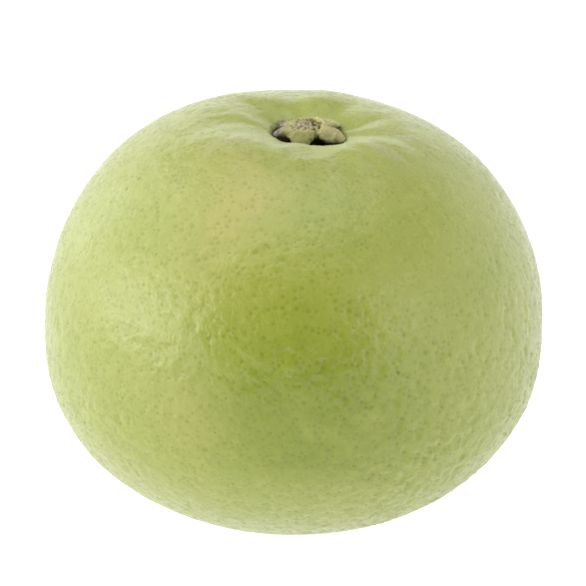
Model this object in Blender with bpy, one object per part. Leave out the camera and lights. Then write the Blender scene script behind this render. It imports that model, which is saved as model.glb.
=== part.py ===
"""A whole pomelo standing on its blossom end, with the five-lobed calyx button in its stem basin.

Metres, +Z up. The origin is the middle of the flat spot that the fruit rests on, and the front is -Y.
"""

import bmesh
import bpy
import numpy as np
from mathutils import Matrix, Quaternion, Vector

UP = Vector((0, 0, 1))

# --- the fruit's body: two half superellipsoids that meet at its widest level ---
HALF_WIDTH = 0.0700  # along X
HALF_DEPTH = 0.0687  # along Y
CROWN_RISE = 0.0676  # widest level up to the top, before the stem basin is let in
FOOT_DROP = 0.0510  # widest level down to the blossom end, before it is flattened
CROWN_FULLNESS = 2.29  # 2 is an ellipse, more is squarer
FOOT_FULLNESS = 2.06
REST_CUT = 0.0010  # how much of the blossom end is pressed flat
WIDEST_LEVEL = FOOT_DROP - REST_CUT
BODY_CENTRE = (-0.00017, 0.00014)  # so that the swellings leave the middle of its box on the axis

# Broad swellings and hollows of the body: azimuth from +X towards +Y and latitude in degrees,
# height in metres, and spread in degrees.
SWELLINGS = (
    (5, 11, 0.0006, 13),
    (48, 59, -0.0003, 14),
    (70, -20, 0.0006, 24),
    (115, 8, -0.0006, 22),
    (143, 52, 0.0007, 17),
    (170, 22, -0.0007, 13),
    (200, -38, 0.0005, 13),
    (228, -59, -0.0005, 10),
    (256, -66, 0.0005, 9),
    (285, 5, 0.0004, 26),
    (307, -61, -0.0003, 10),
    (340, -38, -0.0004, 11),
)

# --- the stem basin, and the pit in it that holds the calyx ---
BASIN_CENTRE = (0.0041, -0.0060)
BASIN_DEPTH = 0.0060
BASIN_RADIUS = 0.0175
FURROW_DEPTH = 0.0007
FURROW_RING = 0.0190  # where the furrows that run out of the basin are deepest
FURROW_REACH = 0.0090
PIT_RADIUS = 0.0121
PIT_WALL = 0.0020  # width of the ring over which the pit's wall falls
PIT_FLOOR = 0.0592  # above the widest level
STEM_AXIS = Vector((0.020, -0.035, 1.0)).normalized()  # square to the pit's floor

# --- the calyx button ---
CALYX_GAP = 0.0003  # between its foot and the pit's floor
HUB_RADIUS = 0.0052  # how far it reaches between two lobes
HUB_TOP = 0.0052
HUB_SHOULDER = (0.0036, 0.0062)  # the hub's top slopes down to the lobes between these radii
SCAR_RADIUS = 0.0030  # the hollow left where the stalk was cut
SCAR_DEPTH = 0.0009
LOBE_TOP = 0.0031
LOBE_DROOP = 0.0007  # how far a lobe's tip hangs below its root
LOBE_UNDERSIDE = 0.0012
FOOT_RADII = (0.0028, 0.0044)  # the foot's underside slopes up to the lobes' between these radii
LOBES = (  # azimuth, reach in metres, half width in degrees
    (49, 0.0097, 25),
    (141, 0.0096, 24),
    (196, 0.0101, 21),
    (253, 0.0103, 26),
    (333, 0.0105, 30),
)

# --- how finely the two solids are faceted ---
FRUIT_SEGMENTS = 56
FRUIT_RINGS = 66
RING_STOPS = (  # a ring's number and its angle from the stem: they crowd where the pit's wall is
    (0, 0.0),
    (6, 9.6),
    (16, 13.2),
    (24, 25.0),
    (66, 180.0),
)
SHARP_EDGE = 50  # degrees
CALYX_SEGMENTS = 60
CALYX_RINGS = 20


def ease(t):
    """0 up to t = 0, 1 from t = 1, and a smooth S between."""
    t = np.clip(t, 0.0, 1.0)
    return t * t * (3.0 - 2.0 * t)


def heading(azimuth, latitude):
    """The unit vector at an azimuth and a latitude in degrees."""
    azimuth, latitude = np.radians(azimuth), np.radians(latitude)
    flat = np.cos(latitude)
    return np.array((flat * np.cos(azimuth), flat * np.sin(azimuth), np.sin(latitude)))


def body_points(directions):
    """Where the body, still without its basin, meets rays from the middle of its widest level."""
    rise = directions[:, 2]
    flat = np.sqrt(np.maximum(1.0 - rise**2, 0.0))
    crown = rise > 0
    fullness = np.where(crown, CROWN_FULLNESS, FOOT_FULLNESS)
    length = (flat**fullness + np.abs(rise) ** fullness) ** (-1.0 / fullness)
    semi_axes = np.empty_like(directions)
    semi_axes[:, 0] = HALF_WIDTH
    semi_axes[:, 1] = HALF_DEPTH
    semi_axes[:, 2] = np.where(crown, CROWN_RISE, FOOT_DROP)
    swelling = np.zeros(len(directions))
    for azimuth, latitude, height, spread in SWELLINGS:
        cosine = np.clip(directions @ heading(azimuth, latitude), -1.0, 1.0)
        swelling += height * np.exp(-((np.degrees(np.arccos(cosine)) / spread) ** 2))
    return directions * (semi_axes * length[:, None] + swelling[:, None])


def let_in_basin(points):
    """Lowers the crown into the stem basin, its furrows and the pit."""
    x = points[:, 0] - BASIN_CENTRE[0]
    y = points[:, 1] - BASIN_CENTRE[1]
    radius = np.hypot(x, y)
    around = np.arctan2(y, x)
    furrows = 0.55 * np.cos(5 * around + 0.9) + 0.45 * np.cos(3 * around - 1.2)
    furrows *= np.exp(-(((radius - FURROW_RING) / FURROW_REACH) ** 2))
    basin = BASIN_DEPTH * np.exp(-((radius / BASIN_RADIUS) ** 2)) + FURROW_DEPTH * furrows
    skin = points[:, 2] - basin
    floor = PIT_FLOOR - (STEM_AXIS.x * x + STEM_AXIS.y * y) / STEM_AXIS.z
    rim = PIT_RADIUS * (1 + 0.03 * np.cos(3 * around + 0.6) + 0.03 * np.cos(5 * around - 1.0))
    outside = ease((radius - rim) / PIT_WALL + 0.5)
    lowered = floor + (skin - floor) * outside
    points[:, 2] = np.where(points[:, 2] > 0, lowered, points[:, 2])
    return points


def skin_points(directions):
    """Points of the fruit's skin, with its blossom end not yet flattened, in the part's frame."""
    return let_in_basin(body_points(directions)) + np.array((*BODY_CENTRE, WIDEST_LEVEL))


def to_object(name, mesh_data, collection):
    """A new object named name, smooth shaded, from a bmesh."""
    mesh = bpy.data.meshes.new(name)
    mesh_data.to_mesh(mesh)
    mesh_data.free()
    mesh.shade_smooth()
    part = bpy.data.objects.new(name, mesh)
    collection.objects.link(part)
    return part


def ray_through(vertex):
    """Where the body is sought for a vertex of the unit sphere.

    Its ring keeps its number but takes its angle from RING_STOPS, and the rings, level at the
    blossom end, lean over by degrees until the topmost one lies round the basin.
    """
    polar = UP.angle(vertex.co)
    numbers, angles = zip(*RING_STOPS)
    angle = np.interp(polar / np.pi * FRUIT_RINGS, numbers, angles)
    around = np.degrees(np.arctan2(vertex.co.y, vertex.co.x))
    basin = UP.rotation_difference(Vector((*BASIN_CENTRE, CROWN_RISE)))
    lean = basin.slerp(Quaternion(), angle / 180)
    return lean @ Vector(heading(around, 90 - angle))


def make_fruit(collection):
    """A sphere drawn out to the fruit's skin and cut flat where it rests."""
    ball = bmesh.new()
    bmesh.ops.create_uvsphere(ball, u_segments=FRUIT_SEGMENTS, v_segments=FRUIT_RINGS, radius=1.0)
    rays = np.array([ray_through(vertex) for vertex in ball.verts])
    for vertex, place in zip(ball.verts, skin_points(rays)):
        vertex.co = place
    everything = ball.verts[:] + ball.edges[:] + ball.faces[:]
    cut = bmesh.ops.bisect_plane(
        ball, geom=everything, plane_co=(0, 0, 0), plane_no=-UP, clear_outer=True
    )
    rim = [edge for edge in cut["geom_cut"] if isinstance(edge, bmesh.types.BMEdge)]
    bmesh.ops.contextual_create(ball, geom=rim)
    bmesh.ops.recalc_face_normals(ball, faces=ball.faces[:])
    fruit = to_object("fruit", ball, collection)
    fruit.data.set_sharp_from_angle(angle=np.radians(SHARP_EDGE))
    return fruit


def calyx_outline(around):
    """How far the calyx reaches at this azimuth in radians."""
    reach = HUB_RADIUS
    for azimuth, lobe_reach, half_width in LOBES:
        away = np.degrees(abs((around - np.radians(azimuth) + np.pi) % (2 * np.pi) - np.pi))
        reach += (lobe_reach - HUB_RADIUS) * np.exp(-((away / half_width) ** 4))
    return reach


def make_calyx(collection):
    """A flattened sphere drawn out into five lobes, with the hub and its hollow stalk scar on top."""
    disc = bmesh.new()
    bmesh.ops.create_uvsphere(disc, u_segments=CALYX_SEGMENTS, v_segments=CALYX_RINGS, radius=1.0)
    for vertex in disc.verts:
        around = np.arctan2(vertex.co.y, vertex.co.x)
        share = np.hypot(vertex.co.x, vertex.co.y)
        radius = share * calyx_outline(around)
        hub = 1 - ease((radius - HUB_SHOULDER[0]) / (HUB_SHOULDER[1] - HUB_SHOULDER[0]))
        scar = SCAR_DEPTH * (1 - ease(radius / SCAR_RADIUS))
        droop = LOBE_DROOP * ease((radius - HUB_RADIUS) / HUB_RADIUS)
        top = LOBE_TOP + (HUB_TOP - LOBE_TOP) * hub - scar - droop
        lifted = ease((radius - FOOT_RADII[0]) / (FOOT_RADII[1] - FOOT_RADII[0]))
        bottom = CALYX_GAP + (LOBE_UNDERSIDE - CALYX_GAP) * lifted
        rounding = np.sqrt(max(1 - share**6, 0.0))
        side = np.sign(vertex.co.z) if abs(vertex.co.z) > 1e-6 else 0.0
        height = (top + bottom) / 2 + side * rounding * (top - bottom) / 2
        vertex.co = (radius * np.cos(around), radius * np.sin(around), height)
    calyx = to_object("calyx_button", disc, collection)
    turn = UP.rotation_difference(STEM_AXIS).to_matrix().to_4x4()
    seat = Matrix.Translation(
        Vector((*BASIN_CENTRE, PIT_FLOOR)) + Vector((*BODY_CENTRE, WIDEST_LEVEL))
    )
    calyx.matrix_world = seat @ turn
    return calyx


def give_material(part, colour, roughness):
    """A plain opaque finish."""
    material = bpy.data.materials.new(part.name + "_finish")
    material.use_nodes = True
    shader = material.node_tree.nodes["Principled BSDF"]
    shader.inputs["Base Color"].default_value = (*colour, 1.0)
    shader.inputs["Roughness"].default_value = roughness
    shader.inputs["Metallic"].default_value = 0.0
    part.data.materials.append(material)


def main():
    for leftover in list(bpy.data.objects):
        bpy.data.objects.remove(leftover)
    pomelo = bpy.data.collections.new("pomelo")
    bpy.context.scene.collection.children.link(pomelo)
    give_material(make_fruit(pomelo), colour=(0.40, 0.50, 0.13), roughness=0.45)
    give_material(make_calyx(pomelo), colour=(0.30, 0.26, 0.12), roughness=0.80)


main()
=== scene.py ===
"""The looks of the pomelo: its dimpled rind, its dry calyx button and a plain white studio.

Metres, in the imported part's frame: +Z up, and the camera looks down along +Y from the front.
Azimuths are in degrees from +X towards +Y, unless a comment says otherwise.
"""

import bmesh
import bpy
import numpy as np
from mathutils import Matrix, Vector, noise


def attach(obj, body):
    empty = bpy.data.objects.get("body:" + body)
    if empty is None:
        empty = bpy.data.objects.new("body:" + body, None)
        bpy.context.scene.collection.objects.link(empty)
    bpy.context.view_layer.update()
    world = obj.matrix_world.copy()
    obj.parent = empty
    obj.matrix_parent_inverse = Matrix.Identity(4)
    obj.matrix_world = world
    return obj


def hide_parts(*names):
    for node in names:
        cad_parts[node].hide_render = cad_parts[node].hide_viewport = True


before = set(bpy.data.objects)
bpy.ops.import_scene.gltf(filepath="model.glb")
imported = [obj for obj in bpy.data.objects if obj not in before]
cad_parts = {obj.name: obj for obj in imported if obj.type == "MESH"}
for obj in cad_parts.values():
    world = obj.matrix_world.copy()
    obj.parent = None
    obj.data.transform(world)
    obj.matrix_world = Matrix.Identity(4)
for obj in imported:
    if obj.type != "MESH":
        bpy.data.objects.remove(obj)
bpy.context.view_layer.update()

MM = 0.001
UP = Vector((0, 0, 1))

# --- the fruit's body, as in the solid: two half superellipsoids that meet at its widest level ---
HALF_WIDTH = 0.0700  # along X
HALF_DEPTH = 0.0687  # along Y
CROWN_RISE = 0.0676  # widest level up to the top, before the stem basin is let in
FOOT_DROP = 0.0510  # widest level down to the blossom end, before it is flattened
CROWN_FULLNESS = 2.29  # 2 is an ellipse, more is squarer
FOOT_FULLNESS = 2.06
REST_CUT = 0.0010  # how much of the blossom end is pressed flat
WIDEST_LEVEL = FOOT_DROP - REST_CUT
BODY_CENTRE = (-0.00017, 0.00014)  # so that the swellings leave the middle of its box on the axis
SWELLINGS = (  # azimuth and latitude, height in metres, spread in degrees
    (5, 11, 0.0006, 13),
    (48, 59, -0.0003, 14),
    (70, -20, 0.0006, 24),
    (115, 8, -0.0006, 22),
    (143, 52, 0.0007, 17),
    (170, 22, -0.0007, 13),
    (200, -38, 0.0005, 13),
    (228, -59, -0.0005, 10),
    (256, -66, 0.0005, 9),
    (285, 5, 0.0004, 26),
    (307, -61, -0.0003, 10),
    (340, -38, -0.0004, 11),
)
STYLE_SCAR = (-0.003, 0.005, 0.0028, 0.0006)  # on the blossom end: x, y, radius and depth
FOOT_TOP = 0.005  # the blossom end lies below this height

# --- the stem basin, and the pit in it that holds the calyx ---
BASIN_CENTRE = (0.0041, -0.0060)
BASIN_DEPTH = 0.0060
BASIN_RADIUS = 0.0175
BASIN_DIP = (0.0016, 0.0080, 0.0070, 20)  # behind the calyx: depth, ring, reach and turn from +Y
FURROWS = ((5, 0.55, 0.9), (3, 0.45, -1.2))  # how many round the basin, share and phase in radians
FURROW_DEPTH = 0.0007
FURROW_RING = 0.0190  # where they are deepest
FURROW_REACH = 0.0090
FOLDS = (  # azimuth, half width in degrees, ring, reach and height: valleys below 0, ridges above
    (181, 18, 0.0195, 0.0110, -0.0008),
    (212, 12, 0.0205, 0.0100, 0.0005),
    (234, 9, 0.0170, 0.0060, -0.0003),
    (17, 9, 0.0145, 0.0070, -0.0005),
    (1, 8, 0.0170, 0.0090, 0.0003),
    (346, 8, 0.0190, 0.0090, -0.0003),
    (331, 9, 0.0190, 0.0090, 0.0002),
    (76, 12, 0.0240, 0.0120, 0.0007),
    (98, 13, 0.0240, 0.0120, -0.0010),
    (128, 11, 0.0260, 0.0120, 0.0004),
)
PIT_FLOOR = 0.0592  # above the widest level
PIT_EDGE = (  # azimuth, how far the pit reaches there, and how much its rim is raised
    (0, 0.0089, -0.0003),
    (20, 0.0085, -0.0003),
    (35, 0.0093, -0.0002),
    (60, 0.0090, 0.0004),
    (90, 0.0076, 0.0006),
    (115, 0.0092, 0.0002),
    (142, 0.0100, -0.0003),
    (165, 0.0092, 0.0000),
    (180, 0.0090, 0.0000),
    (195, 0.0085, -0.0003),
    (210, 0.0087, -0.0001),
    (225, 0.0095, -0.0003),
    (240, 0.0102, -0.0002),
    (255, 0.0100, 0.0003),
    (270, 0.0100, 0.0005),
    (285, 0.0103, 0.0000),
    (300, 0.0109, -0.0006),
    (315, 0.0109, -0.0011),
    (330, 0.0103, -0.0008),
    (345, 0.0094, -0.0004),
)
PIT_FINISH = 0.60  # how far inside its edge the dull floor, in near-black painted shade, begins: 1 is the foot of the wall
PIT_WALL = (0.0010, 0.0018)  # width of the ring over which its wall falls, in front and behind
RIM = (0.0112, 0.0036)  # ring and reach of the raised rim
STEM_AXIS = Vector((0.020, -0.035, 1.0)).normalized()  # square to the pit's floor

# --- the skin's points, of which some are oil glands, and the relief between them ---
RANDOM_SEED = 7
SKIN_POINTS = 31000
GOLDEN_ANGLE = np.pi * (3 - np.sqrt(5))
CROWDING = (7.0, 11.5, 4.0)  # how many times closer round the pit, at what angle, over what angle
ANGLE_STEPS = 4001  # between the crown and the foot, to add up the crowding
JITTER = 0.36  # in spacings
EVENING_ROUNDS = 3
GLAND_SHARE = 0.54  # how many of the points are glands
GLAND_CROWDING = 1.6  # where the points are more crowded than this, fewer are glands
GLAND_STRENGTH = (0.35, 1.0)  # of the weakest and of the strongest
GLAND_DEPTH = 0.00022
UNDULATION = ((0.0120, 0.00007), (0.0055, 0.00005), (0.0025, 0.00006))  # each wave's length, height
LEATHER = (0.0022, 0.0038, 0.00017)  # ridges between creases: width, length downwards, height
RIGHT_SIDE = (0.005, 0.020)  # x at which it begins, and over what width
RIGHT_EDGE = (0.035, 0.018, 0.6)  # the same for its outer edge, and how much less that counts
UPPER_SKIN = (0.020, 0.025)  # height above the widest level at which it begins, and over what height
UPPER_RIGHT_CALM = (0.5, 0.3)  # how much shallower the waves and the glands are there
CREASES = (0.75, 1.05, 2.6)  # how much shallower higher up, how deep below, and more on its right
WRINKLES = (4.2, 0.0140, 0.00028, 0.0230, 0.0120)  # per radian, length, height, ring and reach

# --- its colouring ---
STREAKS = (9.0, 0.0200, 0.0220, 0.0110)  # pale ones round the stem: per radian, length, ring, reach
STREAK_LEVEL = (0.35, 0.9)  # how pale they are on the whole, and how much they differ
STREAK_SIDES = ((-0.2, 1.0), (3.4, 0.85))  # where they are palest, in radians, and how pale
STREAKS_ELSEWHERE = 0.1
STREAKED_CROWN = (0.07, 0.03)  # height at which they begin, and over what height
RIDGE_HIGHLIGHT = 0.0010  # the height of a fold whose ridge is all pale: painted highlight on the ridges, and painted shade in the valleys, which lose their paleness
FINE_STREAKS = (20.0, 0.0060)  # the fine lines in them: per radian and length
LIP_HIGHLIGHT = (0.0127, 0.0015, 0.9)  # painted highlight on the front of the pit's rim: ring, reach and paleness
TINTS = {  # where the rind is tinted: azimuth, latitude and spread in degrees, and how much
    "deep green and shade": (
        # partly painted shade: the first patch darkens the side that faces the camera; the others are the
        # skin's own deeper green
        (269, 9, 17, 1.30),
        (285, 2, 18, 0.25),
        (281, 53, 10, 0.35),
        (95, 15, 26, 0.60),
        (20, -25, 20, 0.50),
        (160, -10, 24, 0.40),
    ),
    "pale and lit": (
        # partly painted light: the first two patches brighten the lit left side; the others are the skin's
        # own paler patches
        (240, 14, 13, 0.20),
        (228, 1, 11, 0.35),
        (212, 60, 15, 0.60),
        (208, 67, 10, 0.90),
        (335, 59, 16, 0.05),
        (262, -40, 14, 0.25),
        (150, 25, 24, 0.50),
        (55, -20, 22, 0.50),
    ),
    "ripe": (
        (252, 53, 9, 0.95),
        (249, 41, 7, 0.45),
        (243, 62, 7, 0.50),
        (250, 6, 9, 0.35),
        (110, 45, 14, 0.60),
    ),
}
UNEVEN_TINTS = ((0.35, 0.22), (0.25, 0.08))  # how much they waver, and over what share of the radius

# --- the calyx button: lengths in millimetres from the middle of the pit's floor ---
HUB_MIDDLE = (-0.9, 0.2)
HUB_LEAN = 7  # degrees, towards the front
HUB_PROFILE = (  # radius and height, down the outer side
    (0.0, 4.75),
    (1.8, 4.80),
    (3.2, 4.85),
    (4.1, 4.75),
    (4.6, 4.30),
    (4.8, 3.50),
    (4.8, 2.40),
    (4.4, 1.30),
    (3.4, 0.80),
    (0.0, 0.65),
)
HUB_ROUND = (0.08, 35)  # how much further the hub reaches, and towards which azimuth
LOBES = (  # azimuth, root, reach, half width, half thickness, root's and tip's height, arch, twist
    (335, 2.3, 10.4, 3.95, 1.65, 3.35, 1.80, 0.40, -5),
    (253, 1.2, 9.9, 3.15, 1.35, 3.90, 1.80, 0.50, 4),
    (224, 1.5, 7.0, 2.60, 1.20, 3.70, 2.70, 0.10, 0),  # not a lobe, but the web between two
    (194, 1.4, 9.8, 2.75, 1.15, 4.10, 2.40, 0.20, 12),
    (142, 1.6, 11.2, 2.00, 0.80, 3.60, 2.90, 0.00, -6),
    (40, 1.6, 10.6, 3.30, 1.00, 4.20, 2.60, 0.45, 0),
)
LOBE_FULLNESS = 2.35  # 2 is an ellipsoid, more is squarer
LOBE_NECK = (0.72, 0.28, 0.5)  # its width at the root, what it gains, and over what share of it
LOBE_TAPER = 0.30  # how much narrower its tip is
BALL_SEGMENTS = 64  # of the hub and of each lobe, before they are joined
BALL_RINGS = 40
CALYX_VOXEL = 0.12
SOFT_JOINS = (0.5, 14)  # strength and rounds of the smoothing
UPPER_SIDE = (0.1, 0.5, 2.6, 0.8)  # how far it looks up and over what, and height and over what
SCAR_RADIUS = 3.05
SCAR_EDGE = 0.25  # its width
SCAR_SCALLOPS = (  # how many round it, depth, and phase in radians
    (1, 0.45, 2.36),
    (5, 0.10, 0.4),
    (9, 0.06, 2.0),
    (14, 0.04, 1.0),
)
SCAR_GRAIN = ((0.85, 0.32), (0.38, 0.12))  # length and height of its bumps
GROOVE = (0.45, 0.30, 1.10, 25)  # round the scar: half width, shallowest, how much deeper and where
GROOVE_WIDENING = 1.2  # how much wider it is where it is deepest
GROOVE_BREAKS = (0.9, 0.8, 1.2, 0.2, 1.4)  # length, and share of its depth: mean, swing and limits
RIM_RING = (4.95, 0.50, 0.60, 58)  # the bark's rim: radius, half width, height, where it is highest
LOBE_WRINKLES = ((6.0, 3.2, 0.10), (16.0, 1.6, 0.05))  # round the hub: per radian, length, height
WRINKLES_BEGIN = (2, 3)  # radius, and over what width
BUMPS = ((1.3, 0.16), (0.50, 0.07))  # length and height
SHADE_DEPTHS = (0.5, 0.2, 0.7)  # painted shade in hollows: depths of the groove and of a wrinkle at which it is full, and how dark the wrinkle's gets
DRY_SECTOR = (110, 25, 222, 15)  # azimuth from which and its soft edge, to which and its soft edge
DRY_REACH = (6.6, 2.2)  # from which, and its soft edge
FRESH_SECTOR = (14, 12, 75, 15)
FRESH_REACH = (5.2, 1.5)
OLIVE_SECTOR = (222, 12, 296, 14)
GAP_SHADE = (293, 13, 3.5, 1.5, 1.3)  # painted shade in the gap between the front and right lobes: azimuth, half width, reach, soft edge, and how much lower it is counted

# --- noise: a seed each, and those with several fields use the next numbers too ---
SEEDS = {
    "undulation": 0,
    "leather": 5,
    "wrinkles": 11,
    "streaks_and_highlights": 13,
    "groove": 19,
    "scar grain": 20,
    "lobe wrinkles": 30,
    "bumps": 40,
    "tints": 60,
}
SEED_SHIFT = (17.3, 5.1, 29.7)
NOISE_GAIN = 1.6  # brings it up to between about -1 and 1

# --- materials ---
COLOURS = {
    "skin": (0.310, 0.360, 0.042),
    "bright skin": (0.332, 0.370, 0.050),
    # painted shade on the side that faces the camera, and the skin's own deeper green
    "deep green and shade": (0.225, 0.280, 0.008),
    # painted light on the lit left side, and the skin's own paler patches
    "pale and lit": (0.365, 0.400, 0.085),
    "ripe": (0.385, 0.375, 0.070),
    # painted highlight on the folds' ridges and the pit's front rim, and the skin's own pale streaks
    "streak and highlight": (0.425, 0.415, 0.205),
    "nicks": (0.230, 0.190, 0.090),
    "style": (0.130, 0.080, 0.035),
    # near-black painted shade down the pit's wall
    "pit": (0.022, 0.012, 0.006),
    # the pit's floor: dark brown cork, made near black as painted shade
    "shaded cork": (0.014, 0.007, 0.004),
    "bright cork": (0.036, 0.022, 0.012),
    "bark": (0.350, 0.335, 0.125),
    "bright bark": (0.450, 0.405, 0.200),
    "olive": (0.265, 0.260, 0.075),
    "reach": (0.475, 0.440, 0.180),  # near the hub
    "rim": (0.580, 0.570, 0.230),
    "specks": (0.190, 0.150, 0.075),
    "wood": (0.500, 0.450, 0.270),
    "dark wood": (0.200, 0.160, 0.070),
    "dry": (0.110, 0.080, 0.075),
    "dry flakes": (0.400, 0.350, 0.290),
    "fresh": (0.500, 0.490, 0.240),
    # painted shade in the groove round the scar and in the wrinkles
    "hollow_shade": (0.150, 0.135, 0.042),
    # painted shade under the lobes, low on the hub and in the gap between the front and right lobes
    "low": (0.035, 0.020, 0.010),
    "floor": (0.30, 0.30, 0.30),
}
TONES = {  # what multiplies the rind's colour
    "light": (1.12, 1.10, 1.25),
    "flecks": (1.13, 1.10, 1.35),
    "dark": (0.90, 0.93, 0.80),
    "gland": (0.75, 0.79, 0.38),
}
PATCHES = {  # noise: size in metres, detail, roughness; then from and to, and the results at both
    "mottle": (0.0220, 3.0, 0.5, 0.35, 0.65, 0.0, 1.0),
    "rays": (1.0, 3.0, 0.6, 0.40, 0.62, 0.15, 1.0),  # its size in stem_rays' own units
    "light": (0.0032, 3.0, 0.6, 0.52, 0.72, 0.0, 0.55),
    "flecks": (0.0013, 2.0, 0.5, 0.48, 0.70, 0.0, 0.55),
    "dark": (0.0045, 2.0, 0.5, 0.30, 0.48, 0.6, 0.0),
    "nicks": (0.0040, 4.0, 0.55, 0.72, 0.76, 0.0, 0.6),
    "rind roughness": (0.0060, 3.0, 0.5, 0.3, 0.7, 0.24, 0.32),
    "shaded cork": (0.0008, 3.0, 0.6, 0.35, 0.70, 0.0, 1.0),
    "bark": (0.0030, 3.0, 0.5, 0.35, 0.65, 0.0, 1.0),
    "specks": (0.0006, 3.0, 0.6, 0.55, 0.75, 0.0, 0.5),
    "wood": (0.0011, 4.0, 0.65, 0.36, 0.68, 0.0, 1.0),
    "dry flakes": (0.0011, 3.0, 0.6, 0.46, 0.70, 0.0, 1.0),
    "calyx roughness": (0.0020, 2.0, 0.5, 0.3, 0.7, 0.62, 0.85),
}
STRETCHES = {  # values stored on the points: from and to, and the shares at both
    "gland": (0.10, 0.70, 0.0, 0.82),
    "style": (0.05, 0.65, 0.0, 0.9),
    # painted shade into the pit: from where it begins to where it is full
    "pit": (0.20, 0.60, 0.0, 1.0),
    "reach": (4.0, 6.5, 0.8, 0.0),
    # painted shade in the hollows
    "hollow_shade": (0.15, 1.1, 0.0, 0.86),
    # painted shade on places that lie low, strongest below the first height
    "low": (1.2, 2.6, 0.95, 0.0),
}
GAINS = {"streak and highlight": 0.9, "rim": 0.9, "dry": 0.85, "fresh": 0.8}  # the same, but only made weaker
CORK_ROUGHNESS = (0.85, 1.0)
RIND_GRAIN = (0.0011, 3.0, 0.6)  # size, detail and roughness of the finest relief
RIND_GRAIN_SCALE = (1, 1, 0.8)  # drawn out a little down the fruit
RIND_GRAIN_DEPTH = 0.0003
CALYX_GRAIN = (0.00035, 4.0, 0.65)
CALYX_GRAIN_DEPTH = 0.0002
GRAIN_STRENGTH = 0.6

# --- the studio ---
SOFTBOXES = (  # azimuths from the camera's side, their soft edge, elevations, theirs, and strength
    (262, 311, 14, -30, 20, 30, 3.1),
    (224, 318, 12, -30, 58, 20, 1.73),
    (38, 64, 8, -30, 38, 26, 2.25),
    (66, 146, 20, -30, 38, 26, 1.2),
    (150, 235, 30, -30, 30, 20, 1.3),
    (-180, 180, 10, 60, 120, 40, 2.15),
)
WHITE = (1, 1, 1)
FLOOR_GLOW = 0.95
FLOOR_HALF_SIZE = 3.0
CAMERA_LENS = 100  # millimetres, as is the sensor's width
CAMERA_SENSOR = 36
CAMERA_ELEVATION = 24
CAMERA_DISTANCE = 0.460
CAMERA_TARGET = (*BODY_CENTRE, 0.06226)


def ease(t):
    """0 up to t = 0, 1 from t = 1, and a smooth S between."""
    t = np.clip(t, 0.0, 1.0)
    return t * t * (3.0 - 2.0 * t)


def heading(azimuth, latitude):
    """The unit vector at an azimuth and a latitude in degrees."""
    azimuth, latitude = np.radians(azimuth), np.radians(latitude)
    flat = np.cos(latitude)
    return np.array((flat * np.cos(azimuth), flat * np.sin(azimuth), np.sin(latitude)))


def outwards(radius, around, per_radian, length):
    """Coordinates in which noise is drawn out into lines that run outwards."""
    return np.stack((np.cos(around) * per_radian, np.sin(around) * per_radian, radius / length), 1)


def waves(points, lengths, seed):
    """Smooth noise between about -1 and 1, with a length along each axis."""
    offset = Vector([seed * step for step in SEED_SHIFT])
    scaled = points / np.array(lengths)
    return np.array([noise.noise(Vector(place) + offset) for place in scaled]) * NOISE_GAIN


def body_points(directions):
    """Where the body, still without its basin, meets rays from the middle of its widest level."""
    rise = directions[:, 2]
    flat = np.sqrt(np.maximum(1.0 - rise**2, 0.0))
    crown = rise > 0
    fullness = np.where(crown, CROWN_FULLNESS, FOOT_FULLNESS)
    length = (flat**fullness + np.abs(rise) ** fullness) ** (-1.0 / fullness)
    semi_axes = np.empty_like(directions)
    semi_axes[:, 0] = HALF_WIDTH
    semi_axes[:, 1] = HALF_DEPTH
    semi_axes[:, 2] = np.where(crown, CROWN_RISE, FOOT_DROP)
    swelling = np.zeros(len(directions))
    for azimuth, latitude, height, spread in SWELLINGS:
        cosine = np.clip(directions @ heading(azimuth, latitude), -1.0, 1.0)
        swelling += height * np.exp(-((np.degrees(np.arccos(cosine)) / spread) ** 2))
    return directions * (semi_axes * length[:, None] + swelling[:, None])


def pit_edge(around):
    """How far the pit reaches at these azimuths in radians, and how much its rim is raised."""
    azimuths, reaches, rims = (np.array(column) for column in zip(*PIT_EDGE))
    around = np.degrees(around) % 360
    return (np.interp(around, azimuths, values, period=360) for values in (reaches, rims))


def crown_folds(radius, around):
    """Height of the ridges and valleys that run out from the pit."""
    height = np.zeros_like(radius)
    for azimuth, half_width, ring, reach, rise in FOLDS:
        away = (np.degrees(around) - azimuth + 180) % 360 - 180
        height += rise * np.exp(-((away / half_width) ** 2) - ((radius - ring) / reach) ** 2)
    return height


def let_in_basin(points):
    """Lowers the crown into the stem basin and the pit, and says how far into the pit each point is."""
    x = points[:, 0] - BASIN_CENTRE[0]
    y = points[:, 1] - BASIN_CENTRE[1]
    radius = np.hypot(x, y)
    around = np.arctan2(y, x)
    depth, ring, reach, turned = BASIN_DIP
    behind = 0.5 + 0.5 * np.sin(around - np.radians(turned))
    furrows = sum(share * np.cos(number * around + phase) for number, share, phase in FURROWS)
    furrows *= np.exp(-(((radius - FURROW_RING) / FURROW_REACH) ** 2))
    basin = BASIN_DEPTH * np.exp(-((radius / BASIN_RADIUS) ** 2)) + FURROW_DEPTH * furrows
    basin += depth * behind * np.exp(-(((radius - ring) / reach) ** 2))
    basin -= crown_folds(radius, around)
    edge, rim = pit_edge(around)
    ring, reach = RIM
    basin -= rim * np.exp(-(((radius - ring) / reach) ** 2))
    skin = points[:, 2] - basin
    floor = PIT_FLOOR - (STEM_AXIS.x * x + STEM_AXIS.y * y) / STEM_AXIS.z
    wall = PIT_WALL[0] + (PIT_WALL[1] - PIT_WALL[0]) * behind
    outside = ease((radius - edge) / wall)
    lowered = floor + (skin - floor) * outside
    crown = points[:, 2] > 0
    points[:, 2] = np.where(crown, lowered, points[:, 2])
    return points, np.where(crown, 1 - outside, 0.0)


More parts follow.
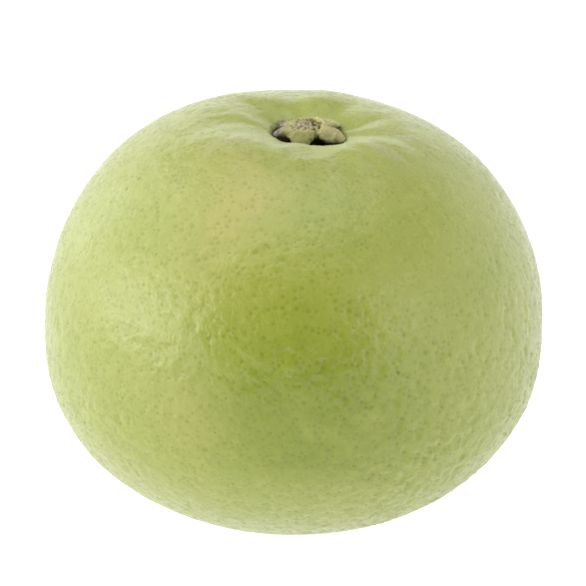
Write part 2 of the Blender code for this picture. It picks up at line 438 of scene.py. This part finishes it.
def skin_directions(rng):
    """Rays spread evenly over the fruit, closer round the pit, and how crowded each one is."""
    peak, middle, spread = CROWDING
    angles = np.linspace(0, np.pi, ANGLE_STEPS)
    density = 1 + peak * np.exp(-(((np.degrees(angles) - middle) / spread) ** 2))
    share = np.cumsum(density * np.sin(angles))
    steps = (np.arange(SKIN_POINTS) + 0.5) / SKIN_POINTS
    polar = np.interp(steps, share / share[-1], angles)
    crowded = np.interp(polar, angles, density)
    around = np.arange(SKIN_POINTS) * GOLDEN_ANGLE
    rays = np.stack((np.sin(polar) * np.cos(around), np.sin(polar) * np.sin(around), np.cos(polar)), 1)
    spacing = np.sqrt(4 * np.pi / SKIN_POINTS * share[-1] * (angles[1] / 2) / crowded)
    rays += rng.normal(0, JITTER / 2, rays.shape) * spacing[:, None]
    rays /= np.linalg.norm(rays, axis=1)[:, None]
    pole = Vector((*BASIN_CENTRE, CROWN_RISE)).normalized()
    turn = np.array(UP.rotation_difference(pole).to_matrix())
    return rays @ turn.T, crowded


def hull_faces(directions):
    """The triangles that join neighbouring rays, all facing outwards."""
    hull = bmesh.new()
    for direction in directions:
        hull.verts.new(direction)
    hull.verts.index_update()
    bmesh.ops.convex_hull(hull, input=hull.verts)
    faces = np.array([[vertex.index for vertex in face.verts] for face in hull.faces])
    hull.free()
    a, b, c = (directions[faces[:, corner]] for corner in range(3))
    inward = np.einsum("ij,ij->i", np.cross(b - a, c - a), a) < 0
    faces[inward] = faces[inward][:, ::-1]
    return faces


def evened(rays):
    """Moves each ray to the middle of the triangles round it, and drops any that the hull leaves out."""
    faces = hull_faces(rays)
    centres = rays[faces].sum(axis=1)
    moved = np.zeros_like(rays)
    for corner in range(3):
        np.add.at(moved, faces[:, corner], centres)
    lengths = np.linalg.norm(moved, axis=1)
    kept = lengths > 0
    return moved[kept] / lengths[kept][:, None], kept


def fans(faces, count):
    """Puts a point in each face and joins it to its neighbours' points across every edge.

    Points of the faces are numbered from count up. Each new triangle has one old corner, its first.
    """
    start = faces.ravel()
    end = np.roll(faces, -1, axis=1).ravel()
    face = np.repeat(np.arange(len(faces)), 3)
    order = np.argsort(start * count + end)
    twin = order[np.searchsorted((start * count + end)[order], end * count + start)]
    return np.stack((start, count + face[twin], count + face), 1)


def skin_net(rng):
    """The rays through the skin's points, its faces, and how crowded the first points are.

    The first points may be glands. Each of the others lies in the middle of three of them.
    """
    rays, crowded = skin_directions(rng)
    for _ in range(EVENING_ROUNDS):
        rays, kept = evened(rays)
        crowded = crowded[kept]
    faces = hull_faces(rays)
    used, faces = np.unique(faces, return_inverse=True)
    faces = faces.reshape(-1, 3)
    rays, crowded = rays[used], crowded[used]
    middles = rays[faces].mean(axis=1)
    middles /= np.linalg.norm(middles, axis=1)[:, None]
    return np.vstack((rays, middles)), fans(faces, len(rays)), crowded


def vertex_normals(points, faces):
    """Unit normals of the points, each weighted by the areas of the faces round it."""
    a, b, c = (points[faces[:, corner]] for corner in range(3))
    across = np.cross(b - a, c - a)
    normals = np.zeros_like(points)
    for corner in range(3):
        np.add.at(normals, faces[:, corner], across)
    return normals / np.linalg.norm(normals, axis=1)[:, None]


def stem_wrinkles(points):
    """Creases that run outwards from the stem basin and fade out down the fruit."""
    per_radian, length, height, ring, reach = WRINKLES
    x = points[:, 0] - BASIN_CENTRE[0]
    y = points[:, 1] - BASIN_CENTRE[1]
    radius = np.hypot(x, y)
    fade = np.exp(-(((radius - ring) / reach) ** 2)) * (points[:, 2] > 0)
    polar = np.stack((x / radius * per_radian, y / radius * per_radian, radius / length), 1)
    return height * fade * waves(polar, (1, 1, 1), SEEDS["wrinkles"])


def skin_relief(points, in_pit, crowded, rng):
    """Height of the relief at each of the skin's points, and each one's strength as a gland."""
    start, width = RIGHT_SIDE
    right = ease((points[:, 0] - start) / width)
    start, width, less = RIGHT_EDGE
    right *= 1 - less * ease((points[:, 0] - start) / width)
    start, width = UPPER_SKIN
    high = ease((points[:, 2] - start) / width)
    calmer_waves, calmer_glands = UPPER_RIGHT_CALM
    relief = np.zeros(len(points))
    for seed, (length, height) in enumerate(UNDULATION, SEEDS["undulation"]):
        relief += height * (1 - calmer_waves * right * high) * waves(points, (length,) * 3, seed)
    width, length, height = LEATHER
    less, depth, more = CREASES
    creased = (1 - less * high) * (depth + more * right * (1 - high))
    relief += height * creased * (0.5 - np.abs(waves(points, (width, width, length), SEEDS["leather"])))
    relief += stem_wrinkles(points)
    count = len(crowded)
    glands = rng.random(count) < GLAND_SHARE * np.minimum(1.0, GLAND_CROWDING / crowded)
    strength = np.zeros(len(points))
    strength[:count] = np.where(glands, rng.uniform(*GLAND_STRENGTH, count), 0.0)
    strength *= (1 - in_pit) * (1 - calmer_glands * right * high)
    relief[:count] -= GLAND_DEPTH * strength[:count] / crowded
    return relief, strength


def stem_streaks_and_highlights(points):
    """Pale streaks that run outwards from the stem basin, with painted highlights on the folds' ridges and
    on the front of the pit's rim: between 0 and 1.
    """
    per_radian, length, ring, reach = STREAKS
    x = points[:, 0] - BASIN_CENTRE[0] - BODY_CENTRE[0]
    y = points[:, 1] - BASIN_CENTRE[1] - BODY_CENTRE[1]
    radius = np.hypot(x, y)
    around = np.arctan2(y, x)
    crown, rise = STREAKED_CROWN
    fade = np.exp(-(((radius - ring) / reach) ** 2)) * ease((points[:, 2] - crown) / rise)
    sides = np.max([share * np.cos(around - side) for side, share in STREAK_SIDES], axis=0)
    fade *= STREAKS_ELSEWHERE + (1 - STREAKS_ELSEWHERE) * sides.clip(0, 1) ** 2
    # painted highlight along the front of the pit's rim
    ring, reach, paleness = LIP_HIGHLIGHT
    lip = paleness * np.exp(-(((radius - ring) / reach) ** 2)) * (points[:, 2] > crown) * ease(-y / ring)
    level, swing = STREAK_LEVEL
    lines = waves(outwards(radius, around, per_radian, length), (1, 1, 1), SEEDS["streaks_and_highlights"])
    # the folds' ridges are painted pale as highlight, and their valleys lose paleness as painted shade
    streaks_and_highlights = level + swing * lines + crown_folds(radius, around) / RIDGE_HIGHLIGHT
    return np.clip(streaks_and_highlights, 0, 1) * np.maximum(fade, lip)


def tint(directions, patches, seed):
    """How strongly the patches colour the skin, with uneven edges: between 0 and 1."""
    amount = np.zeros(len(directions))
    for azimuth, latitude, spread, most in patches:
        cosine = np.clip(directions @ heading(azimuth, latitude), -1.0, 1.0)
        amount += most * np.exp(-((np.degrees(np.arccos(cosine)) / spread) ** 2))
    uneven = 1
    for swing, length in UNEVEN_TINTS:
        uneven = uneven + swing * waves(directions, (length,) * 3, seed)
    return np.clip(amount * uneven, 0, 1)


def store(mesh, looks):
    """Keeps values on a mesh's points, for its materials to read by name."""
    for name, values in looks.items():
        layer = mesh.attributes.new(name, "FLOAT", "POINT")
        layer.data.foreach_set("value", values.astype(np.float32))


def add_object(name, data):
    """A new object in the scene, from a mesh or a camera."""
    added = bpy.data.objects.new(name, data)
    bpy.context.scene.collection.objects.link(added)
    return added


def make_fruit():
    """The skin with its basin, pit, glands and creases, flat where the fruit rests."""
    rng = np.random.default_rng(RANDOM_SEED)
    directions, faces, crowded = skin_net(rng)
    points, in_pit = let_in_basin(body_points(directions))
    normals = vertex_normals(points, faces)
    relief, gland = skin_relief(points, in_pit, crowded, rng)
    points += normals * relief[:, None]
    points += np.array((*BODY_CENTRE, WIDEST_LEVEL))
    x, y, reach, depth = STYLE_SCAR
    style = 1 - ease(np.hypot(points[:, 0] - x, points[:, 1] - y) / reach)
    style *= points[:, 2] < FOOT_TOP
    points[:, 2] = np.maximum(points[:, 2], 0.0) + depth * style
    mesh = bpy.data.meshes.new("pomelo_rind")
    mesh.from_pydata(points, [], faces)
    mesh.shade_smooth()
    looks = {"gland": gland * (1 - style), "pit": in_pit, "streak and highlight": stem_streaks_and_highlights(points), "style": style}
    for seed, (name, patches) in enumerate(TINTS.items(), SEEDS["tints"]):
        looks[name] = tint(directions, patches, seed)
    store(mesh, looks)
    # the faces deep in the pit take the near-black pit material, which is painted shade
    inside = in_pit[faces].min(axis=1) > PIT_FINISH
    mesh.polygons.foreach_set("material_index", inside.astype(np.int32))
    return add_object("pomelo_rind", mesh)


def shaped_sphere(shape):
    """A closed mesh from the unit sphere, its points moved by shape, in millimetres."""
    ball = bmesh.new()
    bmesh.ops.create_uvsphere(ball, u_segments=BALL_SEGMENTS, v_segments=BALL_RINGS, radius=1.0)
    for vertex in ball.verts:
        vertex.co = shape(vertex.co)
    return ball


def hub_shape(unit):
    """The hub's profile turned round its middle, a little out of round."""
    radii, heights = zip(*HUB_PROFILE)
    along = UP.angle(unit) / np.pi * (len(radii) - 1)
    steps = np.arange(len(radii))
    around = np.arctan2(unit.y, unit.x)
    share, towards = HUB_ROUND
    radius = np.interp(along, steps, radii) * (1 + share * np.cos(around - np.radians(towards)))
    height = np.interp(along, steps, heights) + np.tan(np.radians(HUB_LEAN)) * radius * np.sin(around)
    x = radius * np.cos(around) + HUB_MIDDLE[0]
    y = radius * np.sin(around) + HUB_MIDDLE[1]
    return Vector((x, y, height))


def lobe_shape(unit, lobe):
    """One thick sepal: a rounded pad that lies out along its azimuth and hangs down at its tip."""
    azimuth, root, reach, half_width, half_thickness, root_height, tip_height, arch, twist = lobe
    power = 2 / LOBE_FULLNESS
    full = Vector([np.sign(part) * abs(part) ** power for part in unit])
    along = (1 + full.x) / 2
    narrowest, gain, reached = LOBE_NECK
    width = (narrowest + gain * float(ease(along / reached))) * (1 - LOBE_TAPER * along**3)
    place = Vector((root + (reach - root) * along, half_width * width * full.y, half_thickness * full.z))
    place.z += root_height + (tip_height - root_height) * along + 4 * arch * along * (1 - along)
    place.z += np.tan(np.radians(twist)) * place.y * along
    return Matrix.Rotation(np.radians(azimuth), 3, "Z") @ place


def one_skin(name, pieces):
    """Joins closed meshes into a single skin with soft joins."""
    mesh = bpy.data.meshes.new(name)
    whole = bmesh.new()
    for piece in pieces:
        piece.to_mesh(mesh)
        piece.free()
        whole.from_mesh(mesh)
    whole.to_mesh(mesh)
    whole.free()
    joined = add_object(name, mesh)
    remesh = joined.modifiers.new("one skin", "REMESH")
    remesh.mode = "VOXEL"
    remesh.voxel_size = CALYX_VOXEL
    smooth = joined.modifiers.new("soft joins", "SMOOTH")
    smooth.factor, smooth.iterations = SOFT_JOINS
    depsgraph = bpy.context.evaluated_depsgraph_get()
    skin = bpy.data.meshes.new_from_object(joined.evaluated_get(depsgraph))
    joined.modifiers.clear()
    joined.data = skin
    return joined


def read_vectors(vertices, name):
    """One row for each vertex: its co or its normal."""
    values = np.empty(len(vertices) * 3)
    vertices.foreach_get(name, values)
    return values.reshape(-1, 3)


def sector(azimuth, start, start_edge, end, end_edge):
    """1 between two azimuths, with soft edges inside them."""
    return ease((azimuth - start) / start_edge) * ease((end - azimuth) / end_edge)


def wrinkle_calyx(mesh):
    """The scar's grain and groove, the bark's rim and the lobes' wrinkles, in millimetres."""
    points = read_vectors(mesh.vertices, "co")
    normals = read_vectors(mesh.vertices, "normal")
    x = points[:, 0] - HUB_MIDDLE[0]
    y = points[:, 1] - HUB_MIDDLE[1]
    radius = np.hypot(x, y)
    around = np.arctan2(y, x)
    facing, facing_edge, level, level_edge = UPPER_SIDE
    upper = ease((normals[:, 2] - facing) / facing_edge) * ease((points[:, 2] - level) / level_edge)
    edge = np.full(len(points), SCAR_RADIUS)
    for number, depth, phase in SCAR_SCALLOPS:
        edge += depth * np.cos(number * around + phase)
    scar = ease((edge - radius) / SCAR_EDGE + 0.5) * upper
    half_width, shallow, deeper, towards = GROOVE
    away = 0.5 + 0.5 * np.cos(around - np.radians(towards))
    width = half_width * (1 + GROOVE_WIDENING * away)
    groove = np.exp(-(((radius - edge - half_width) / width) ** 2))
    length, mean, swing, least, most = GROOVE_BREAKS
    breaks = np.clip(mean + swing * waves(points, (length,) * 3, SEEDS["groove"]), least, most)
    groove *= (shallow + deeper * away**4) * upper * breaks
    ring, half_width, height, towards = RIM_RING
    rim = (0.5 + 0.5 * np.cos(around - np.radians(towards))) ** 3
    rim *= np.exp(-(((radius - ring) / half_width) ** 2)) * upper
    points[:, 2] += height * rim - groove
    relief = np.zeros(len(points))
    for seed, (length, height) in enumerate(SCAR_GRAIN, SEEDS["scar grain"]):
        relief += scar * height * waves(points, (length,) * 3, seed)
    begin, width = WRINKLES_BEGIN
    for seed, (per_radian, length, height) in enumerate(LOBE_WRINKLES, SEEDS["lobe wrinkles"]):
        lines = waves(outwards(radius, around, per_radian, length), (1, 1, 1), seed)
        relief += (1 - scar) * height * lines * ease((radius - begin) / width)
    for seed, (length, height) in enumerate(BUMPS, SEEDS["bumps"]):
        relief += (1 - scar) * height * waves(points, (length,) * 3, seed)
    points += normals * relief[:, None]
    mesh.vertices.foreach_set("co", points.ravel())
    # painted shade, darkest in the deep groove and in the deepest wrinkles
    dark_groove, dark_wrinkle, share = SHADE_DEPTHS
    hollow_shade = np.clip(groove / dark_groove, 0, 1) + np.clip(-relief / dark_wrinkle, 0, 1) * share
    store(mesh, {"scar": scar, "hollow_shade": hollow_shade, "rim": rim, **bark_areas(points)})


def bark_areas(points):
    """Where the calyx is withered, fresh or olive, how far out it is, and how low it lies for painted
    shade, counted lower in the gap between the front and right lobes.
    """
    reach = np.hypot(points[:, 0], points[:, 1])
    azimuth = np.degrees(np.arctan2(points[:, 1], points[:, 0])) % 360
    begin, edge = DRY_REACH
    dry = sector(azimuth, *DRY_SECTOR) * ease((reach - begin) / edge)
    begin, edge = FRESH_REACH
    fresh = sector(azimuth, *FRESH_SECTOR) * ease((reach - begin) / edge)
    # the gap between the front and right lobes counts as lower, so that it takes more painted shade
    towards, half_width, begin, edge, lower = GAP_SHADE
    gap = np.exp(-(((azimuth - towards) / half_width) ** 2)) * ease((reach - begin) / edge)
    low = points[:, 2] - lower * gap
    olive = sector(azimuth, *OLIVE_SECTOR)
    return {"reach": reach, "low": low, "dry": dry, "fresh": fresh, "olive": olive}


def make_calyx():
    """The hub and its lobes in one skin, turned and moved into the pit."""
    pieces = [shaped_sphere(hub_shape)]
    pieces += [shaped_sphere(lambda unit, lobe=lobe: lobe_shape(unit, lobe)) for lobe in LOBES]
    calyx = one_skin("pomelo_calyx", pieces)
    wrinkle_calyx(calyx.data)
    turn = UP.rotation_difference(STEM_AXIS).to_matrix().to_4x4()
    seat = Matrix.Translation((*BASIN_CENTRE, PIT_FLOOR))
    shift = Matrix.Translation((*BODY_CENTRE, WIDEST_LEVEL))
    calyx.data.transform(shift @ seat @ turn @ Matrix.Scale(MM, 4))
    calyx.data.shade_smooth()
    return calyx


def set_inputs(target, inputs):
    """Sets a node's sockets, spaces in their names written as underscores."""
    for name, value in inputs.items():
        target.inputs[name.replace("_", " ")].default_value = value


def node(tree, kind, **inputs):
    """Adds a node and sets its sockets."""
    added = tree.nodes.new(kind)
    set_inputs(added, inputs)
    return added


def calc(tree, operation, *values):
    """The result of a Math node on sockets or numbers."""
    sum_node = tree.nodes.new("ShaderNodeMath")
    sum_node.operation = operation
    for socket, value in zip(sum_node.inputs, values):
        if isinstance(value, bpy.types.NodeSocket):
            tree.links.new(value, socket)
        else:
            socket.default_value = value
    return sum_node.outputs["Value"]


def times(tree, first, second):
    """The product of two sockets or numbers."""
    return calc(tree, "MULTIPLY", first, second)


def ramp(tree, value, low, high, start, end):
    """Follows value smoothly from start at low to end at high."""
    bent = node(tree, "ShaderNodeMapRange", From_Min=low, From_Max=high, To_Min=start, To_Max=end)
    bent.interpolation_type = "SMOOTHSTEP"
    tree.links.new(value, bent.inputs["Value"])
    return bent.outputs["Result"]


def blend(tree, share, under, over, mode="MIX"):
    """Mixes two colours, each one a socket or three numbers."""
    mix = tree.nodes.new("ShaderNodeMix")
    mix.data_type = "RGBA"
    mix.blend_type = mode
    tree.links.new(share, mix.inputs[0])
    for socket, value in ((mix.inputs[6], under), (mix.inputs[7], over)):
        if isinstance(value, bpy.types.NodeSocket):
            tree.links.new(value, socket)
        else:
            socket.default_value = (*value, 1)
    return mix.outputs[2]


def stored(tree, name):
    """What the mesh's points hold under this name, as a share."""
    read = tree.nodes.new("ShaderNodeAttribute")
    read.attribute_name = name
    value = read.outputs["Fac"]
    if name in STRETCHES:
        return ramp(tree, value, *STRETCHES[name])
    if name in GAINS:
        return times(tree, value, GAINS[name])
    return value


def blotches(tree, place, size, detail, roughness):
    """Noise between 0 and 1 with blotches of this size in metres."""
    noisy = node(tree, "ShaderNodeTexNoise", Scale=1 / size, Detail=detail, Roughness=roughness)
    tree.links.new(place, noisy.inputs["Vector"])
    return noisy.outputs["Fac"]


def patchy(tree, place, name):
    """What PATCHES makes of each place."""
    size, detail, roughness, *bends = PATCHES[name]
    return ramp(tree, blotches(tree, place, size, detail, roughness), *bends)


def roughen(tree, shader, height, depth):
    """Gives the shader relief that is too fine for the mesh."""
    bump = node(tree, "ShaderNodeBump", Strength=GRAIN_STRENGTH, Distance=depth)
    tree.links.new(height, bump.inputs["Height"])
    tree.links.new(bump.outputs["Normal"], shader.inputs["Normal"])


def new_material(name, **inputs):
    """A material, its node tree, and its shader with these sockets set."""
    material = bpy.data.materials.new(name)
    material.use_nodes = True
    shader = material.node_tree.nodes["Principled BSDF"]
    set_inputs(shader, inputs)
    return material, material.node_tree, shader


def object_place(tree):
    """A point's coordinates on its object, in metres."""
    return tree.nodes.new("ShaderNodeTexCoord").outputs["Object"]


def stem_rays(tree, place):
    """Coordinates in which noise is drawn out into fine lines that run outwards from the stem."""
    per_radian, length = FINE_STREAKS
    level = tree.nodes.new("ShaderNodeVectorMath")
    level.operation = "MULTIPLY_ADD"
    tree.links.new(place, level.inputs[0])
    level.inputs[1].default_value = (1, 1, 0)
    stem = np.array(BASIN_CENTRE) + np.array(BODY_CENTRE)
    level.inputs[2].default_value = (*-stem, 0)
    radius = tree.nodes.new("ShaderNodeVectorMath")
    radius.operation = "LENGTH"
    tree.links.new(level.outputs["Vector"], radius.inputs[0])
    split = tree.nodes.new("ShaderNodeSeparateXYZ")
    tree.links.new(level.outputs["Vector"], split.inputs[0])
    rays = tree.nodes.new("ShaderNodeCombineXYZ")
    for part, socket in zip(split.outputs[:2], rays.inputs[:2]):
        share = calc(tree, "DIVIDE", part, radius.outputs["Value"])
        tree.links.new(times(tree, share, per_radian), socket)
    tree.links.new(times(tree, radius.outputs["Value"], 1 / length), rays.inputs["Z"])
    return rays.outputs["Vector"]


def rind_material():
    """Waxy pale green peel: tinted (some tints are painted shade and painted light), streaked with painted
    highlights round the stem, mottled, dotted with darker oil glands, and darkened into the pit as painted
    shade.
    """
    waxy = {"Specular_IOR_Level": 0.6, "Sheen_Weight": 0.20, "Sheen_Roughness": 0.6}
    material, tree, shader = new_material("rind", **waxy)
    place = object_place(tree)
    colour = blend(tree, patchy(tree, place, "mottle"), COLOURS["skin"], COLOURS["bright skin"])
    for name in TINTS:
        colour = blend(tree, stored(tree, name), colour, COLOURS[name])
    # pale streaks, with painted highlights on the folds' ridges and the pit's front rim
    streaks_and_highlights = times(tree, stored(tree, "streak and highlight"), patchy(tree, stem_rays(tree, place), "rays"))
    colour = blend(tree, streaks_and_highlights, colour, COLOURS["streak and highlight"])
    for name in ("light", "flecks", "dark"):
        colour = blend(tree, patchy(tree, place, name), colour, TONES[name], "MULTIPLY")
    colour = blend(tree, stored(tree, "gland"), colour, TONES["gland"], "MULTIPLY")
    colour = blend(tree, patchy(tree, place, "nicks"), colour, COLOURS["nicks"])
    colour = blend(tree, stored(tree, "style"), colour, COLOURS["style"])
    # painted shade: the rind turns near black down the pit's wall
    in_pit = stored(tree, "pit")
    colour = blend(tree, in_pit, colour, COLOURS["pit"])
    tree.links.new(colour, shader.inputs["Base Color"])
    roughness = patchy(tree, place, "rind roughness")
    tree.links.new(calc(tree, "MAXIMUM", roughness, in_pit), shader.inputs["Roughness"])
    drawn = node(tree, "ShaderNodeMapping", Scale=RIND_GRAIN_SCALE)
    tree.links.new(place, drawn.inputs["Vector"])
    roughen(tree, shader, blotches(tree, drawn.outputs["Vector"], *RIND_GRAIN), RIND_GRAIN_DEPTH)
    return material


def pit_material():
    """Dull dark brown cork on the floor of the pit, made near black as painted shade."""
    material, tree, shader = new_material("pit", Specular_IOR_Level=0.1)
    grain = patchy(tree, object_place(tree), "shaded cork")
    tree.links.new(blend(tree, grain, COLOURS["shaded cork"], COLOURS["bright cork"]), shader.inputs["Base Color"])
    tree.links.new(ramp(tree, grain, 0.0, 1.0, *CORK_ROUGHNESS), shader.inputs["Roughness"])
    roughen(tree, shader, grain, CALYX_GRAIN_DEPTH)
    return material


def calyx_material():
    """Dry olive bark with a tan scar, and dark brown painted shade in its hollows and under its lobes."""
    material, tree, shader = new_material("calyx")
    place = object_place(tree)
    colour = blend(tree, patchy(tree, place, "bark"), COLOURS["bark"], COLOURS["bright bark"])
    for name in ("olive", "reach", "rim"):
        colour = blend(tree, stored(tree, name), colour, COLOURS[name])
    colour = blend(tree, patchy(tree, place, "specks"), colour, COLOURS["specks"])
    wood = blend(tree, patchy(tree, place, "wood"), COLOURS["wood"], COLOURS["dark wood"])
    colour = blend(tree, stored(tree, "scar"), colour, wood)
    dry = blend(tree, patchy(tree, place, "dry flakes"), COLOURS["dry"], COLOURS["dry flakes"])
    colour = blend(tree, stored(tree, "dry"), colour, dry)
    # the last two are painted shade, in hollows and on low places under the lobes
    for name in ("fresh", "hollow_shade", "low"):
        colour = blend(tree, stored(tree, name), colour, COLOURS[name])
    tree.links.new(colour, shader.inputs["Base Color"])
    tree.links.new(patchy(tree, place, "calyx roughness"), shader.inputs["Roughness"])
    roughen(tree, shader, blotches(tree, place, *CALYX_GRAIN), CALYX_GRAIN_DEPTH)
    return material


def within(tree, angle, low, high, edge):
    """1 where an angle in radians is between two in degrees, with a soft edge at both ends."""
    turn = calc(tree, "SUBTRACT", angle, np.radians((low + high) / 2))
    away = calc(tree, "ABSOLUTE", calc(tree, "WRAP", turn, np.pi, -np.pi))
    inner, outer = np.radians((high - low - edge) / 2), np.radians((high - low + edge) / 2)
    return ramp(tree, away, inner, outer, 1.0, 0.0)


def make_world():
    """White to the camera, and softboxes all round to the fruit."""
    world = bpy.data.worlds.new("studio")
    bpy.context.scene.world = world
    world.use_nodes = True
    tree = world.node_tree
    facing = tree.nodes.new("ShaderNodeSeparateXYZ")
    tree.links.new(tree.nodes.new("ShaderNodeTexCoord").outputs["Generated"], facing.inputs[0])
    x, y, z = facing.outputs
    azimuth = calc(tree, "ARCTAN2", x, times(tree, y, -1.0))
    elevation = calc(tree, "ARCSINE", z)
    total = tree.nodes.new("ShaderNodeLightPath").outputs["Is Camera Ray"]
    for left, right, side_edge, low, high, edge, strength in SOFTBOXES:
        across = within(tree, azimuth, left, right, side_edge)
        box = times(tree, across, within(tree, elevation, low, high, edge))
        total = calc(tree, "ADD", total, times(tree, box, strength))
    background = tree.nodes["Background"]
    background.inputs["Color"].default_value = (*WHITE, 1)
    tree.links.new(total, background.inputs["Strength"])


def make_floor():
    """A plain floor, which glows so that it shows white."""
    grid = bmesh.new()
    bmesh.ops.create_grid(grid, x_segments=1, y_segments=1, size=FLOOR_HALF_SIZE)
    mesh = bpy.data.meshes.new("floor")
    grid.to_mesh(mesh)
    grid.free()
    dull = {"Base_Color": (*COLOURS["floor"], 1), "Roughness": 0.9, "Specular_IOR_Level": 0.1}
    glow = {"Emission_Color": (*WHITE, 1), "Emission_Strength": FLOOR_GLOW}
    mesh.materials.append(new_material("floor", **dull, **glow)[0])
    floor = add_object("floor", mesh)


def make_camera():
    """A long lens that looks down on the fruit from the front."""
    camera = bpy.data.cameras.new("camera")
    camera.lens = CAMERA_LENS
    camera.sensor_width = CAMERA_SENSOR
    view = add_object("camera", camera)
    elevation = np.radians(CAMERA_ELEVATION)
    target = Vector(CAMERA_TARGET)
    view.location = target + CAMERA_DISTANCE * Vector((0, -np.cos(elevation), np.sin(elevation)))
    view.rotation_euler = (target - view.location).to_track_quat("-Z", "Y").to_euler()
    bpy.context.scene.camera = view


fruit = make_fruit()
fruit.data.materials.append(rind_material())
fruit.data.materials.append(pit_material())
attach(fruit, "root")
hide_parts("fruit")
calyx = make_calyx()
calyx.data.materials.append(calyx_material())
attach(calyx, "root")
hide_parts("calyx_button")
bpy.context.scene.view_settings.view_transform = "Standard"
make_world()
make_floor()
make_camera()
